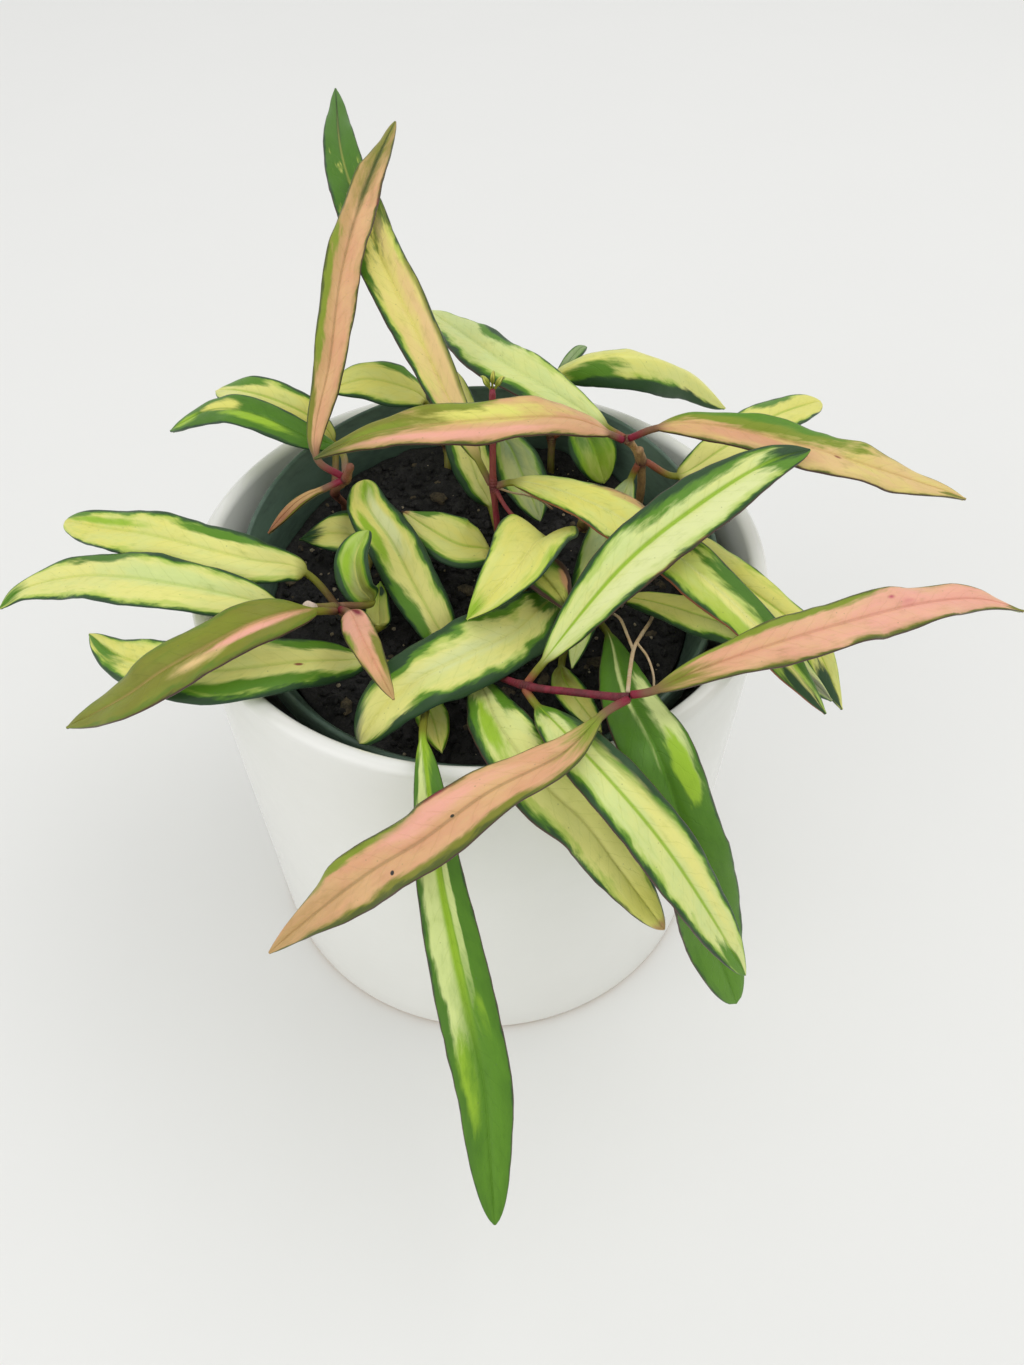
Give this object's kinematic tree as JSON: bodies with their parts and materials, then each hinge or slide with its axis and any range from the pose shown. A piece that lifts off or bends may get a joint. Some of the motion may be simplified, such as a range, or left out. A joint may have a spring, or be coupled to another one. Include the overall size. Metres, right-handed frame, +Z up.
{
  "type": "potted variegated wax plant",
  "caption": "Trailing wax plant with long narrow variegated leaves in a plastic growing pot that stands inside a round white glazed cover pot.",
  "frame": {"origin": "middle of the cover pot's flat underside", "axes": "+Z up out of the pot, -Y toward the side the plant is seen from, +X to that viewer's right"},
  "size_m": [0.2207, 0.2406, 0.1727],
  "materials": {
    "glaze": "glossy warm white glaze",
    "plastic": "thin dark green moulded plastic",
    "mix": "dark damp potting mix of bark, fibre and perlite",
    "stem": "crimson green shoots, brown where woody",
    "leaf_cream": "semi-gloss, cream yellow with dark green margins",
    "leaf_mint": "semi-gloss, mint with a lime midrib and dark green margins",
    "leaf_blush": "semi-gloss, salmon pink with olive margins",
    "leaf_green": "semi-gloss green with a pale stripe"
  },
  "bodies": {
    "root": {"planter": "glaze", "nursery_pot": "plastic", "soil": "mix", "stem_centre": "stem", "stem_left_back": "stem", "stem_right": "stem", "stem_front": "stem", "stem_left": "stem", "crown_front": "stem", "crown_middle": "stem", "crown_right": "stem", "crown_inner": "stem", "crown_lemon": "stem", "crown_back": "stem", "crown_back_left": "stem", "leaf_back_upright_blush": "leaf_blush", "leaf_back_upright_tall": "leaf_cream", "leaf_right_under": "leaf_cream", "leaf_centre_broad": "leaf_mint", "leaf_right_blush": "leaf_blush", "leaf_front_blush": "leaf_blush", "leaf_front_right_upper": "leaf_mint", "leaf_front_right_green": "leaf_green", "leaf_front_cream": "leaf_cream", "leaf_centre_cream": "leaf_cream", "leaf_inner_left": "leaf_mint", "leaf_cross_blush": "leaf_blush", "leaf_right_back_blush": "leaf_blush", "leaf_left_small_folded": "leaf_blush", "leaf_left_small_blush": "leaf_blush", "leaf_left_olive": "leaf_green", "leaf_left_upper": "leaf_cream", "leaf_left_middle": "leaf_cream", "leaf_left_lower": "leaf_cream", "leaf_left_back_green": "leaf_green", "leaf_left_back_pale": "leaf_cream", "leaf_left_back": "leaf_cream", "leaf_back_mint": "leaf_mint", "leaf_back_arched": "leaf_cream", "leaf_right_back_pale": "leaf_mint", "leaf_right_lemon": "leaf_cream", "leaf_right_lowest": "leaf_mint", "leaf_inner_mint": "leaf_mint", "leaf_inner_lime": "leaf_cream", "leaf_inner_curled": "leaf_cream", "leaf_inner_small_dark": "leaf_green", "leaf_left_curled": "leaf_cream", "leaf_left_curled_low": "leaf_cream", "leaf_front_tiny": "leaf_cream", "leaf_front_hanging": "leaf_green", "leaf_inner_back": "leaf_mint", "leaf_inner_right": "leaf_mint", "leaf_front_inner": "leaf_cream", "leaf_inner_steep": "leaf_cream"}
  },
  "joints": []
}
